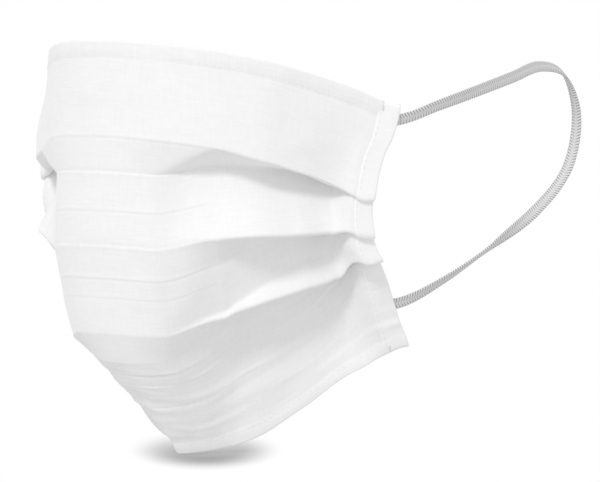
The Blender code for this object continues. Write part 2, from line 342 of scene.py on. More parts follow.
def plan_curve():
    """Distances along the plan curve from the middle of the face, with x, y and turn."""
    distance = np.arange(0.0, 1.5 * HALF_WIDTH, PLAN_STEP)
    share = np.minimum(distance / (HALF_WIDTH * ROUND_SHARE), 1.0)
    turn = FRONT_TURN * np.sin(share * math.pi / 2)
    middle = (turn[1:] + turn[:-1]) / 2
    x = np.concatenate([[0.0], np.cumsum(np.cos(middle) * PLAN_STEP)])
    y = np.concatenate([[0.0], np.cumsum(np.sin(middle) * PLAN_STEP)])
    return distance, x, y, turn


PLAN = plan_curve()


def eased_place(share, power):
    """Places across the mask, shifted by a power short of the stitched band."""
    band = STATIONS[-1]
    inner = band * (np.minimum(share, band) / band) ** power
    return np.where(share > band, share, inner)


def fold_length(wall):
    """Cloth taken up by a fold that is shut, its layers a gap apart."""
    return math.pi * (wall + GAP) / 2


def fold_places():
    """Lengths down the cloth where its folds are."""
    return np.cumsum([row[1] for row in STRETCHES]) * CLOTH_HEIGHT


def turned_place(place, centre, width):
    """Place to read a lean at, where the cloth turns sharply from flat to open."""
    turned = smooth_step(centre - width, centre + width, place)
    flat = np.minimum(place, STATIONS[1])
    opened = np.maximum(place, STATIONS[2])
    return flat * (1 - turned) + opened * turned


def shut_place(place):
    """Place to read a lean at, where the pleats shut just short of the band."""
    zone = STATIONS[-1] - STATIONS[-2]
    late = np.clip((place - STATIONS[-2]) / zone, 0.0, 1.0)
    return place + zone * (late**SHUT_POWER - late)


def stretch_leans(pleat_places, edges, lengths):
    """Lean of each stretch at every station and length, as if it ran on past its folds."""
    leans = []
    start = np.zeros_like(pleat_places[0])
    for row, turns, places, edge in zip(STRETCHES, TURN_PLACES, pleat_places, edges):
        part = np.clip((lengths - start[:, None]) / (edge - start)[:, None], 0.0, 1.0)
        upper, lower, width = turns
        centre = upper + (lower - upper) * part
        place = turned_place(places[:, None], centre, width)
        leans.append(np.radians(read_table(STATIONS, row[2], place)))
        start = edge
    return leans


def walk_cloth(along, lengths):
    """Reach, drop and lean of the cloth's middle, for every station and length."""
    share = np.clip(np.abs(along) / HALF_WIDTH, 0.0, 1.0)
    right = along < 0
    pleat_places = [
        shut_place(np.where(right, eased_place(share, ease), share)) for ease in RIGHT_PLEAT_EASES
    ]
    edge_place = np.where(right, eased_place(share, 1 / RIGHT_EDGE_EASE), share)
    out = read_table(STATIONS, TOP_EDGE_REACH, share) * SIDE_DROP
    down = read_table(EDGE_STATIONS, TOP_EDGE_DROP, share) * SIDE_DROP
    edge_out = read_table(STATIONS, BOTTOM_EDGE_REACH, edge_place) * CLOTH_HEIGHT
    edge_down = read_table(EDGE_STATIONS, BOTTOM_EDGE_DROP, edge_place) * CLOTH_HEIGHT
    folds = fold_places()
    fold = fold_length(CLOTH_WALL)
    fine = np.arange(0.0, CLOTH_HEIGHT + WALK_STEP, WALK_STEP)
    middle = fine[:-1] + WALK_STEP / 2
    # The bright wedge of the third panel starts at its tip and widens to the side
    edges = [np.full_like(share, place) for place in folds]
    edges[WEDGE_FOLD] = read_table(STATIONS, WEDGE_TOP, pleat_places[WEDGE_FOLD]) * CLOTH_HEIGHT
    leans = stretch_leans(pleat_places, edges, middle)
    # The cloth below the last fold aims at the bottom edge
    reach = out.copy()
    drop = down.copy()
    start = np.zeros_like(share)
    for lean, edge in zip(leans, edges):
        inside = (middle[None, :] > start[:, None]) & (middle[None, :] <= edge[:, None])
        reach += np.sum(np.sin(lean) * inside, axis=1) * WALK_STEP
        drop += np.sum(np.cos(lean) * inside, axis=1) * WALK_STEP
        start = edge
    last = np.arctan2(edge_out - reach, edge_down - drop)
    leans.append(np.repeat(last[:, None], len(middle), axis=1))
    lean = leans[0].copy()
    for k, edge in enumerate(edges):
        change = leans[k + 1] - leans[k]
        row = np.clip(np.searchsorted(middle, edge), 0, len(middle) - 1)
        at_fold = np.take_along_axis(change, row[:, None], axis=1)
        shut = smooth_step(PRESSED_TURN, SHUT_TURN, np.abs(at_fold))
        width = fold * shut + PRESSED_FOLD * (1 - shut)
        lean += change * np.clip((middle[None, :] - edge[:, None]) / width + 0.5, 0.0, 1.0)
    reach = out[:, None] + np.cumsum(np.sin(lean), axis=1) * WALK_STEP
    drop = down[:, None] + np.cumsum(np.cos(lean), axis=1) * WALK_STEP
    reach = np.hstack([out[:, None], reach])
    drop = np.hstack([down[:, None], drop])
    # What the bottom edge misses by is shared out over the last panel
    late = np.clip((fine - folds[-1] - fold) / (CLOTH_HEIGHT - folds[-1] - fold), 0, 1)
    reach += (edge_out - reach[:, -1])[:, None] * late[None, :]
    drop += (edge_down - drop[:, -1])[:, None] * late[None, :]
    sag = read_table(SAG_PLACES, SAGS, fine / CLOTH_HEIGHT) * MM
    begin = SAG_START - SAG_START_FALL * fine[None, :] / CLOTH_HEIGHT
    beside = smooth_step(begin, begin + SAG_RISE, share[:, None])
    drop += sag[None, :] * beside * smooth_step(1.0, SAG_END, share)[:, None]
    lean = np.hstack([lean[:, :1], lean])
    rows = []
    for table in (reach, drop, lean):
        rows.append(np.array([np.interp(lengths, fine, row) for row in table]))
    return share[:, None], rows[0], rows[1], rows[2]


def form_cloth(along, lengths):
    """Points of the cloth's middle and its outward ways, on a grid of stations."""
    along = np.asarray(along, float)
    lengths = np.asarray(lengths, float)
    share, reach, drop, lean = walk_cloth(along, lengths)
    pull = read_table(SIDE_PULL_PLACES, SIDE_PULLS, (drop - SIDE_DROP) / SIDE_EDGE_HEIGHT)
    side = np.where(along < 0, -1.0, 1.0)[:, None]
    distance = np.maximum(np.abs(along)[:, None] + pull * HALF_WIDTH * share**2, 0.0)
    x = np.interp(distance, PLAN[0], PLAN[1]) * side
    y = np.interp(distance, PLAN[0], PLAN[2])
    turn = np.interp(distance, PLAN[0], PLAN[3])
    normal = np.stack([side * np.sin(turn), -np.cos(turn), np.zeros_like(turn)], -1)
    up = np.array([0.0, 0.0, 1.0])
    reach = reach + body_relief(along[:, None], drop)
    points = np.stack([x, y, -drop], -1) + normal * reach[..., None]
    ways = normal * np.cos(lean)[..., None] + up * np.sin(lean)[..., None]
    # Cloth that is folded under keeps no creases of its own
    facing = smooth_step(*CREASED_FACING, np.cos(lean))
    relief = crease_relief(along[:, None], lengths[None, :]) * facing
    return points + ways * relief[..., None], ways


def field(u, v, seed):
    """Smooth noise on two coordinates, from -1 to 1."""
    u, v = np.broadcast_arrays(u, v)
    flat = [noise.noise(Vector((a, b, seed))) for a, b in zip(u.ravel(), v.ravel())]
    return np.array(flat).reshape(u.shape)


def noise_waves(across, down, waves):
    """Heights of one row of waves of noise at places on the cloth."""
    wide, high, height, seed = waves
    return field(across / (wide * MM), down / (high * MM), seed) * height * MM


def line_relief(value, place, width):
    """A rounded ridge of height 1 across a value, centred on a place."""
    return np.exp(-(((value - place) / width) ** 2))


def body_relief(along, drop):
    """Slow waves of the whole body, the same in all the layers of a pleat."""
    ends = smooth_step(*BODY_WAVES_END, np.abs(along) / HALF_WIDTH)
    return noise_waves(along, drop, BODY_WAVES) * ends


def pressed_relief(along, length):
    """Pressed lines, each a small step with a thin ridge, gone towards the sides."""
    share = np.abs(along) / HALF_WIDTH
    relief = np.zeros(np.broadcast(along, length).shape)
    for place, height, reach in PRESS_LINES:
        wander = field(along / PRESS_WANDER_WAVE, np.full_like(along, place), PRESS_SEED)
        from_line = length - place * CLOTH_HEIGHT - wander * PRESS_WANDER
        fade = smooth_step(reach + PRESS_FADE, reach - PRESS_FADE, share)
        step = -from_line / PRESS_STEP * line_relief(from_line, 0.0, PRESS_STEP)
        ridge = 0.5 * line_relief(from_line, 0.0, PRESS_RIDGE)
        relief += (step + ridge) * fade * height * MM
    return relief


def lower_panel_relief(along, length):
    """Long creases along the lower panel, and its hollow beside the side band."""
    down = length / CLOTH_HEIGHT
    low = smooth_step(*CREASES_BEGIN, down) * smooth_step(*CREASES_END, down)
    drift = noise_waves(along, length, CREASE_DRIFT)
    below = smooth_step(*SINK_BEGINS, down)
    hollow = line_relief(np.abs(along), BAND_START - SINK_INSET, SINK_WIDTH)
    relief = -below * hollow * SINK_DEPTH
    for wide, high, height, seed in LONG_CREASES:
        waves = field(along / (wide * MM), (length + drift) / (high * MM), seed)
        relief += low * (0.5 - np.abs(waves) * 2.0) * height * MM
    return relief


def dent_relief(along, length):
    """Soft dents of wear."""
    relief = np.zeros(np.broadcast(along, length).shape)
    for place, down, wide, high, depth in DENTS:
        across = (along / HALF_WIDTH - place) / wide
        away = across**2 + ((length / CLOTH_HEIGHT - down) / high) ** 2
        relief -= np.exp(-away) * depth * MM
    return relief


def pucker_relief(along, length):
    """Puckers that stand across the stitched lines and fade away from them."""
    relief = np.zeros(np.broadcast(along, length).shape)
    for from_line, reach, waves in (
        (length - TOP_HEM_HEIGHT, HEM_PUCKER_REACH, TOP_PUCKERS),
        (length - BOTTOM_HEM_START, HEM_PUCKER_REACH, BOTTOM_PUCKERS),
        (np.abs(along) - BAND_START, BAND_PUCKER_REACH, BAND_PUCKERS),
    ):
        relief += noise_waves(along, length, waves) * np.exp(-np.abs(from_line) / reach)
    return relief


def crease_relief(along, length):
    """Creases that the cloth itself keeps, from pressing, hemming and wear."""
    relief = pressed_relief(along, length) + lower_panel_relief(along, length)
    relief += dent_relief(along, length) + pucker_relief(along, length)
    for waves in RESTLESS_WAVES:
        relief += noise_waves(along, length, waves)
    return relief


def cloth_rows(start, end):
    """Lengths down the cloth, closer together at its folds and pressed lines."""
    rows = [start]
    folds = fold_places()
    lines = np.array([row[0] for row in PRESS_LINES]) * CLOTH_HEIGHT
    while rows[-1] < end - FOLD_STEP / 2:
        near = np.min(np.abs(folds - rows[-1])) < NEAR_FOLD
        near = near or np.min(np.abs(lines - rows[-1])) < NEAR_PRESS_LINE
        rows.append(rows[-1] + (FOLD_STEP if near else CLOTH_STEP))
    rows[-1] = end
    return np.array(rows)


def panel_stations():
    """Stations across the panel, from inside one side band to inside the other."""
    end = BAND_START + SEAM_OVERLAP
    return np.linspace(-end, end, int(2 * end / CLOTH_STEP) | 1)


def clear_selection():
    """Nothing selected and nothing active."""
    for thing in bpy.context.selected_objects:
        thing.select_set(False)
    bpy.context.view_layer.objects.active = None


def grid_faces(rows, columns, first, flipped):
    """Quads of a grid of vertices that starts at the vertex called first."""
    number = np.arange(rows * columns).reshape(rows, columns) + first
    corners = (number[:-1, :-1], number[1:, :-1], number[1:, 1:], number[:-1, 1:])
    if flipped:
        corners = corners[::-1]
    return np.stack([c.ravel() for c in corners], -1).tolist()


def finish_mesh(name, points, faces, cloth, material):
    """Mesh object with merged seams, outward faces, a cloth UV map and smooth shading."""
    mesh = bpy.data.meshes.new(name)
    mesh.from_pydata(points.tolist(), [], faces)
    corners = np.zeros(len(mesh.loops), int)
    mesh.loops.foreach_get("vertex_index", corners)
    layer = mesh.uv_layers.new(name="cloth")
    layer.data.foreach_set("uv", cloth[corners].ravel())
    shell = bmesh.new()
    shell.from_mesh(mesh)
    bmesh.ops.remove_doubles(shell, verts=shell.verts, dist=MERGE_DISTANCE)
    bmesh.ops.recalc_face_normals(shell, faces=shell.faces)
    shell.to_mesh(mesh)
    shell.free()
    mesh.polygons.foreach_set("use_smooth", [True] * len(mesh.polygons))
    mesh.materials.append(material)
    piece = bpy.data.objects.new(name, mesh)
    bpy.context.scene.collection.objects.link(piece)
    return piece


def make_shell(name, front, back, across, down, material):
    """Closed piece of cloth from the grids of its two sides, with its UV in metres."""
    rows, columns = front.shape[:2]
    count = rows * columns
    number = np.arange(count).reshape(rows, columns)
    edge = np.concatenate([number[:-1, 0], number[-1, :-1], number[:0:-1, -1], number[0, :0:-1]])
    rim = [(a, b, b + count, a + count) for a, b in zip(edge, np.roll(edge, -1))]
    faces = grid_faces(rows, columns, 0, False) + grid_faces(rows, columns, count, True)
    faces += [tuple(int(i) for i in quad) for quad in rim]
    points = np.concatenate([front.reshape(-1, 3), back.reshape(-1, 3)])
    cloth = np.stack(np.broadcast_arrays(across[:, None], down[None, :]), -1).reshape(-1, 2)
    cloth = np.concatenate([cloth, cloth])
    return finish_mesh(name, points, faces, cloth, material)


def make_panel(cotton):
    """The pleated body of the mask, which runs on into the hems that hold it."""
    across = panel_stations()
    down = cloth_rows(TOP_HEM_HEIGHT - SEAM_OVERLAP, BOTTOM_HEM_START + SEAM_OVERLAP)
    points, ways = form_cloth(across, down)
    half = ways * CLOTH_WALL / 2
    return make_shell("cotton_panel", points + half, points - half, across, down, cotton)


def rounded_share(distance, least=0.0):
    """Share of its full thickness that a rounded edge has at distances inside it."""
    inside = np.minimum(distance / (HEM_WALL / 2), 1.0)
    return np.sqrt(np.clip(1 - (1 - inside) ** 2, least, 1))


def hem_profile(distance, width, slope):
    """Half thickness of a turned edge, from its rounded fold to its stitched side."""
    radius = HEM_WALL / 2
    puff = np.sin(np.clip(distance / width, 0, 1) * math.pi) * HEM_FULLNESS
    thinned = smooth_step(width - slope, width, distance) * (radius - STITCHED_HALF)
    return (radius + puff - thinned) * rounded_share(distance)


def hem_steps(width):
    """Distances across a turned edge, close together at its rounded fold and its end."""
    near = np.array(HEM_FOLD_STEPS) * MM
    rest = np.linspace(HEM_FLAT_START, width, int(width / HEM_STEP))
    return np.concatenate([near, rest[:-1], [width - HEM_END_STEP, width]])


def make_hem(name, edge, width, inward, cotton):
    """Turned and stitched edge along the top (inward 1) or the bottom (inward -1)."""
    across = panel_stations()
    steps = hem_steps(width)
    down = edge + inward * steps
    order = np.argsort(down)
    points, ways = form_cloth(across, down[order])
    half = ways * hem_profile(steps[order], width, HEM_SLOPE)[None, :, None]
    return make_shell(name, points + half, points - half, across, down[order], cotton)


def make_side_band(name, side, cotton):
    """Turned side edge, through which the shut pleats run."""
    steps = hem_steps(SIDE_HEM_WIDTH)
    across = side * (HALF_WIDTH - steps)
    order = np.argsort(across)
    down = cloth_rows(0.0, CLOTH_HEIGHT)
    points, ways = form_cloth(across[order], down)
    profile = hem_profile(steps[order], SIDE_HEM_WIDTH, BAND_SLOPE)[:, None]
    # Layers that are folded under stay as thin as the cloth
    facing = smooth_step(*BAND_FACING, np.cos(walk_cloth(across[order], down)[3]))
    half = ways * (CLOTH_WALL / 2 + (profile - CLOTH_WALL / 2) * facing)[..., None]
    ends = rounded_share(np.minimum(down, CLOTH_HEIGHT - down), BAND_END_LEAST)
    half = half * ends[None, :, None]
    # The two sides meet along the outermost line of the fold
    half = np.where(profile[..., None] < MERGE_DISTANCE / 10, 0.0, half)
    return make_shell(name, points + half, points - half, across[order], down, cotton)


def run_lengths(points):
    """Length along a line of points, at each of them."""
    return np.concatenate([[0.0], np.cumsum(np.linalg.norm(np.diff(points, axis=0), axis=1))])


def values_at(places, lengths, values):
    """Points or ways of a line, read at places along it."""
    return np.stack([np.interp(places, lengths, values[:, k]) for k in range(3)], -1)


def stitch_run(points, ways):
    """Vertices and faces of small thread stitches laid along a line of points."""
    lengths = run_lengths(points)
    vertices = []
    faces = []
    for s in range(int(lengths[-1] / STITCH_PITCH)):
        start = s * STITCH_PITCH + (STITCH_PITCH - STITCH_LENGTH) / 2
        places = start + STITCH_LENGTH * np.array(STITCH_PLACES)
        middle = values_at(places, lengths, points)
        way = values_at(places, lengths, ways)
        run = middle[-1] - middle[0]
        run /= np.linalg.norm(run)
        first = len(vertices)
        for point, out, lift, girth in zip(middle, way, STITCH_LIFTS, STITCH_GIRTHS):
            out = out / np.linalg.norm(out)
            beside = np.cross(run, out)
            for k in range(THREAD_SIDES):
                angle = 2 * math.pi * k / THREAD_SIDES
                ring = beside * math.cos(angle) + out * math.sin(angle)
                vertices.append(point + (out * lift + ring * girth) * THREAD_RADIUS)
        for r in range(len(places) - 1):
            for k in range(THREAD_SIDES):
                a = first + r * THREAD_SIDES + k
                b = first + r * THREAD_SIDES + (k + 1) % THREAD_SIDES
                faces.append((a, b, b + THREAD_SIDES, a + THREAD_SIDES))
        last = first + (len(places) - 1) * THREAD_SIDES
        faces.append(tuple(first + k for k in reversed(range(THREAD_SIDES))))
        faces.append(tuple(last + k for k in range(THREAD_SIDES)))
    return vertices, faces


def make_stitches(name, lines, thread):
    """One piece of thread that holds the stitches of several lines."""
    vertices = []
    faces = []
    for points, ways in lines:
        more, quads = stitch_run(points, ways)
        faces += [tuple(i + len(vertices) for i in quad) for quad in quads]
        vertices += more
    points = np.array(vertices)
    return finish_mesh(name, points, faces, points[:, :2].copy(), thread)


def level_line(length, thickness, facing):
    """Line across the mask on one face of a hem, at one length down the cloth."""
    across = np.arange(-BAND_START, BAND_START, LINE_STEP)
    points, ways = form_cloth(across, np.array([length]))
    way = ways[:, 0] * facing
    return points[:, 0] + way * thickness, way


def side_lines(side, thickness):
    """Lines down the seen stretches of a side band, one for each panel."""
    along = side * (BAND_START + HEM_STITCH_INSET)
    ends = np.concatenate([[0.0], fold_places(), [CLOTH_HEIGHT]])
    names = [row[0] for row in STRETCHES] + ["panel_d"]
    lines = []
    hidden = 0.0
    for name, start, end in zip(names, ends, ends[1:]):
        if name.startswith("under"):
            hidden = end - start
            continue
        down = np.arange(start + hidden + LINE_START_GAP, end - LINE_END_GAP, LINE_STEP)
        hidden = 0.0
        if len(down) < SHORTEST_LINE:
            continue
        points, ways = form_cloth(np.array([along]), down)
        lines.append((points[0] + ways[0] * thickness, ways[0]))
    return lines


def band_frame(along, length):
    """Point, way down and way out of the cloth where the elastic is sewn."""
    points, ways = form_cloth(np.array([along]), np.array([length, length + LINE_STEP]))
    down = points[0, 1] - points[0, 0]
    return Vector(points[0, 0]), Vector(down).normalized(), Vector(ways[0, 0])


def tucked_end(height):
    """Points of the elastic behind the side band, inner end first, and their ways."""
    inset = HEM_WALL / 2 + GAP + ELASTIC_THICKNESS / 2
    points = []
    ways = []
    for along in np.linspace(HALF_WIDTH - ELASTIC_TUCK, HALF_WIDTH + GAP, TUCK_POINTS):
        point, down, out = band_frame(along, height)
        points.append(point - out * inset)
        ways.append(down)
    return points, ways


def curve_through(points, before, after):
    """Fine points on a smooth curve through the given ones."""
    ends = [before] + points + [after]
    fine = []
    for a, b, c, d in zip(ends, ends[1:], ends[2:], ends[3:]):
        for i in range(CURVE_POINTS):
            t = i / CURVE_POINTS
            rise = (c - a) * t
            bend = (a * 2 - b * 5 + c * 4 - d) * t**2
            twist = (b * 3 - a - c * 3 + d) * t**3
            fine.append(b + (rise + bend + twist) / 2)
    fine.append(points[-1])
    return fine


def flat_way(tangent):
    """Way across the elastic where it lies flat round the ear, as a belt on a wheel."""
    across = Vector((1.0, 0.0, 0.0))
    return (across - tangent * across.dot(tangent)).normalized()


def turn_of(tangent, way):
    """Turn about the elastic's run that lays its width along the given way."""
    flat = flat_way(tangent)
    return math.degrees(math.atan2(way.dot(tangent.cross(flat)), way.dot(flat)))


def elastic_route():
    """Even points of the left elastic, with the way across it at each."""
    upper, upper_ways = tucked_end(UPPER_SEAM)
    lower, lower_ways = tucked_end(CLOTH_HEIGHT - LOWER_SEAM)
    first = (upper[-1] - upper[-2]).normalized()
    last = (lower[-2] - lower[-1]).normalized()
    free = [upper[-1]] + [Vector(row) * HALF_WIDTH for row in ELASTIC_ROUTE] + [lower[-1]]
    before = free[0] - first * (free[1] - free[0]).length
    after = free[-1] + last * (free[-1] - free[-2]).length
    line = np.array(upper[:-1] + curve_through(free, before, after) + lower[-2::-1])
    lengths = run_lengths(line)
    total = lengths[-1]
    places = np.arange(0.0, total, BRAID_STEP)
    route = values_at(places, lengths, line)
    tangents = np.gradient(route, axis=0)
    tangents /= np.linalg.norm(tangents, axis=1, keepdims=True)
    # The sewn ends lie flat against the band, and the turns begin past them
    sewn = int(ELASTIC_TUCK / BRAID_STEP) // 2
    first_turn = turn_of(Vector(tangents[sewn]), upper_ways[TUCK_POINTS // 2])
    last_turn = turn_of(Vector(tangents[-sewn]), lower_ways[TUCK_POINTS // 2])
    held = ELASTIC_TUCK / total * TUCK_HELD
    table = [held, *ELASTIC_TURN_PLACES, 1.0 - held]
    turns = read_table(table, [first_turn, *ELASTIC_TURNS, last_turn], places / total)
    ways = []
    for tangent, turn in zip(tangents, turns):
        tangent = Vector(tangent)
        flat = flat_way(tangent)
        angle = math.radians(turn)
        ways.append(flat * math.cos(angle) + tangent.cross(flat) * math.sin(angle))
    return places, route, tangents, np.array(ways)


def squared(value):
    """Coordinate of a circle, pushed out towards a square with round corners."""
    return np.sign(value) * np.abs(value) ** BRAID_SQUARENESS


def make_elastic(name, side, material):
    """Flat braided elastic, two rows of slanted ribs with a looped edge."""
    places, route, tangents, ways = elastic_route()
    thin = np.cross(tangents, ways)
    ring = np.linspace(0, 2 * math.pi, BRAID_SIDES + 1)[:-1]
    across = squared(np.cos(ring))
    lift = squared(np.sin(ring))
    phase = places[:, None] / RIB_PITCH + np.abs(across)[None, :] * RIB_SLANT
    rib = np.abs(np.sin(math.pi * phase)) - 0.5
    groove = line_relief(across, 0.0, GROOVE_WIDTH)[None, :]
    edge = smooth_step(LOOPED_EDGE, 1.0, np.abs(across))[None, :]
    wide = across * (ELASTIC_WIDTH / 2 + RIB_HEIGHT * rib * edge * LOOP_REACH)
    high = lift * (ELASTIC_THICKNESS / 2 + RIB_HEIGHT * (rib * (1 - groove) - groove))
    points = route[:, None, :] + ways[:, None, :] * wide[..., None]
    points = points + thin[:, None, :] * high[..., None]
    points[..., 0] *= side
    rows, columns = points.shape[:2]
    closed = np.concatenate([points, points[:, :1]], axis=1)
    faces = grid_faces(rows, columns + 1, 0, False)
    for first in (0, (rows - 1) * (columns + 1)):
        faces.append(tuple(range(first, first + columns)))
    closed_across = np.append(across, across[0])
    cloth = np.stack(np.broadcast_arrays(places[:, None], closed_across[None, :]), -1)
    return finish_mesh(name, closed.reshape(-1, 3), faces, cloth.reshape(-1, 2), material)


def new_material(name):
    """Material with its own nodes, and the parts of it that are worked on."""
    material = bpy.data.materials.new(name)
    material.use_nodes = True
    nodes = material.node_tree.nodes
    return material, nodes, material.node_tree.links, nodes["Principled BSDF"]


def set_inputs(node, values):
    """Constants for a node's inputs, by their names."""
    for name, value in values.items():
        node.inputs[name].default_value = value


def add_math(nodes, links, operation, first, second=None):
    """A Math node fed by sockets or plain numbers, and its output."""
    node = nodes.new("ShaderNodeMath")
    node.operation = operation
    for slot, value in enumerate((first, second)):
        if value is None:
            continue
        if isinstance(value, (int, float)):
            node.inputs[slot].default_value = value
        else:
            links.new(value, node.inputs[slot])
    return node.outputs[0]


def add_ramp(nodes, links, value, dark, bright):
    """Colours between a dark and a bright stop, each given as its place and colour."""
    ramp = nodes.new("ShaderNodeValToRGB")
    for stop, (place, colour) in zip(ramp.color_ramp.elements, (dark, bright)):
        stop.position = place
        stop.color = (*colour, 1.0)
    links.new(value, ramp.inputs[0])
    return ramp.outputs[0]


def add_bump(nodes, links, height, strength, distance):
    """Surface way bent by a height."""
    bump = nodes.new("ShaderNodeBump")
    set_inputs(bump, {"Strength": strength, "Distance": distance})
    links.new(height, bump.inputs["Height"])
    return bump.outputs[0]


def add_pattern(nodes, links, group, values):
    """A pattern group that follows the piece's own UV."""
    cloth = nodes.new("ShaderNodeUVMap")
    cloth.uv_map = "cloth"
    pattern = nodes.new("ShaderNodeGroup")
    pattern.node_tree = group
    set_inputs(pattern, values)
    links.new(cloth.outputs[0], pattern.inputs["Cloth"])
    return pattern


def new_group(name, numbers, results):
    """Node group on the cloth's UV, with named numbers going in and results coming out."""
    group = bpy.data.node_groups.new(name, "ShaderNodeTree")
    faces = group.interface
    faces.new_socket("Cloth", in_out="INPUT", socket_type="NodeSocketVector")
    for socket_name, value in numbers.items():
        socket = faces.new_socket(socket_name, in_out="INPUT", socket_type="NodeSocketFloat")
        socket.default_value = value
    for socket_name in results:
        faces.new_socket(socket_name, in_out="OUTPUT", socket_type="NodeSocketFloat")
    inside = group.nodes.new("NodeGroupInput")
    outside = group.nodes.new("NodeGroupOutput")
    split = group.nodes.new("ShaderNodeSeparateXYZ")
    group.links.new(inside.outputs["Cloth"], split.inputs[0])
    return group, inside.outputs, outside.inputs, split.outputs


def weave_group():
    """Node group of a plain weave: its height, and a mask of thick and thin threads."""
    numbers = {"Threads": THREADS, "Slub": SLUB}
    group, given, results, cloth = new_group("plain_weave", numbers, ("Height", "Thick"))
    nodes = group.nodes
    links = group.links
    waves = []
    for axis in (0, 1):
        turned = add_math(nodes, links, "MULTIPLY", cloth[axis], given["Threads"])
        half_turns = add_math(nodes, links, "MULTIPLY", turned, math.pi)
        waves.append(add_math(nodes, links, "SINE", half_turns))
    over = add_math(nodes, links, "MULTIPLY", waves[0], waves[1])
    cross = add_math(nodes, links, "ABSOLUTE", over)
    slubs = []
    for scale in THICK_THREAD_SCALES:
        stretch = nodes.new("ShaderNodeMapping")
        stretch.inputs["Scale"].default_value = scale
        links.new(given["Cloth"], stretch.inputs["Vector"])
        grain = nodes.new("ShaderNodeTexNoise")
        set_inputs(grain, {"Scale": 1.0, "Detail": 2.0})
        links.new(stretch.outputs[0], grain.inputs["Vector"])
        slubs.append(grain.outputs["Fac"])
    both = add_math(nodes, links, "ADD", slubs[0], slubs[1])
    thick = add_math(nodes, links, "MULTIPLY", both, 0.5)
    uneven = add_math(nodes, links, "MULTIPLY", thick, given["Slub"])
    crossings = add_math(nodes, links, "MULTIPLY", cross, CROSSING_HEIGHT)
    links.new(add_math(nodes, links, "ADD", crossings, uneven), results["Height"])
    links.new(thick, results["Thick"])
    return group


def rib_group():
    """Node group of a flat braid's slanted ribs: 1 on each rib and less between, for the ribs' bump and
    for the shade painted between them.
    """
    numbers = {"Pitch": RIB_PITCH, "Slant": RIB_SLANT}
    group, given, results, cloth = new_group("braid_ribs", numbers, ("Rib",))
    nodes = group.nodes
    links = group.links
    run = add_math(nodes, links, "DIVIDE", cloth[0], given["Pitch"])
    away = add_math(nodes, links, "ABSOLUTE", cloth[1])
    lean = add_math(nodes, links, "MULTIPLY", away, given["Slant"])
    phase = add_math(nodes, links, "MULTIPLY", add_math(nodes, links, "ADD", run, lean), math.pi)
    rib = add_math(nodes, links, "ABSOLUTE", add_math(nodes, links, "SINE", phase))
    # The ribs lie deepest at the two edges and close up towards the middle
    shallow = add_math(nodes, links, "MULTIPLY", away, RIB_CLOSING)
    flat = add_math(nodes, links, "SUBTRACT", RIB_CLOSING, shallow)
    links.new(add_math(nodes, links, "MAXIMUM", rib, flat), results["Rib"])
    return group


def grey(value):
    """A grey as a colour."""
    return (value, value, value)


def cotton_material(name, weave, dark, bright, bump):
    """Woven white cotton that follows the cloth's own UV."""
    material, nodes, links, shader = new_material(name)
    look = {
        "Roughness": 0.88,
        "Specular IOR Level": 0.25,
        "Sheen Weight": 0.12,
        "Sheen Roughness": 0.6,
    }
    set_inputs(shader, look)
    pattern = add_pattern(nodes, links, weave, {"Threads": THREADS, "Slub": SLUB})
    thick = pattern.outputs["Thick"]
    colour = add_ramp(nodes, links, thick, (0.30, grey(dark)), (0.62, grey(bright)))
    links.new(colour, shader.inputs["Base Color"])
    relief = add_bump(nodes, links, pattern.outputs["Height"], bump, 0.10 * MM)
    links.new(relief, shader.inputs["Normal"])
    return material


def yarn_material(name, dark, bright):
    """Fine yarn, a little uneven along its run."""
    material, nodes, links, shader = new_material(name)
    set_inputs(shader, {"Roughness": 0.55, "Specular IOR Level": 0.35})
    place = nodes.new("ShaderNodeTexCoord")
    grain = nodes.new("ShaderNodeTexNoise")
    set_inputs(grain, {"Scale": 2400.0, "Detail": 1.0})
    links.new(place.outputs["Object"], grain.inputs["Vector"])
    uneven = grain.outputs["Fac"]
    colour = add_ramp(nodes, links, uneven, (0.35, grey(dark)), (0.65, grey(bright)))
    links.new(colour, shader.inputs["Base Color"])
    return material


def braid_material(name, ribs):
    """Braided elastic, pale on its ribs, with shade painted between them."""
    material, nodes, links, shader = new_material(name)
    set_inputs(shader, {"Roughness": 0.6, "Specular IOR Level": 0.35})
    pattern = add_pattern(nodes, links, ribs, {"Pitch": RIB_PITCH, "Slant": RIB_SLANT})
    rib = pattern.outputs["Rib"]
    # Painted shade: the pale braid is coloured dark grey between its ribs
    colour = add_ramp(nodes, links, rib, (0.10, (0.28, 0.28, 0.285)), (0.85, grey(0.72)))
    links.new(colour, shader.inputs["Base Color"])
    relief = add_bump(nodes, links, rib, 0.6, 0.2 * MM)
    links.new(relief, shader.inputs["Normal"])
    return material


def map_range(nodes, links, value, start, end):
    """A value mapped from its two limits, each given as what goes in and comes out."""
    node = nodes.new("ShaderNodeMapRange")
    limits = {"From Min": start[0], "From Max": end[0], "To Min": start[1], "To Max": end[1]}
    set_inputs(node, limits)
    links.new(value, node.inputs["Value"])
    return node


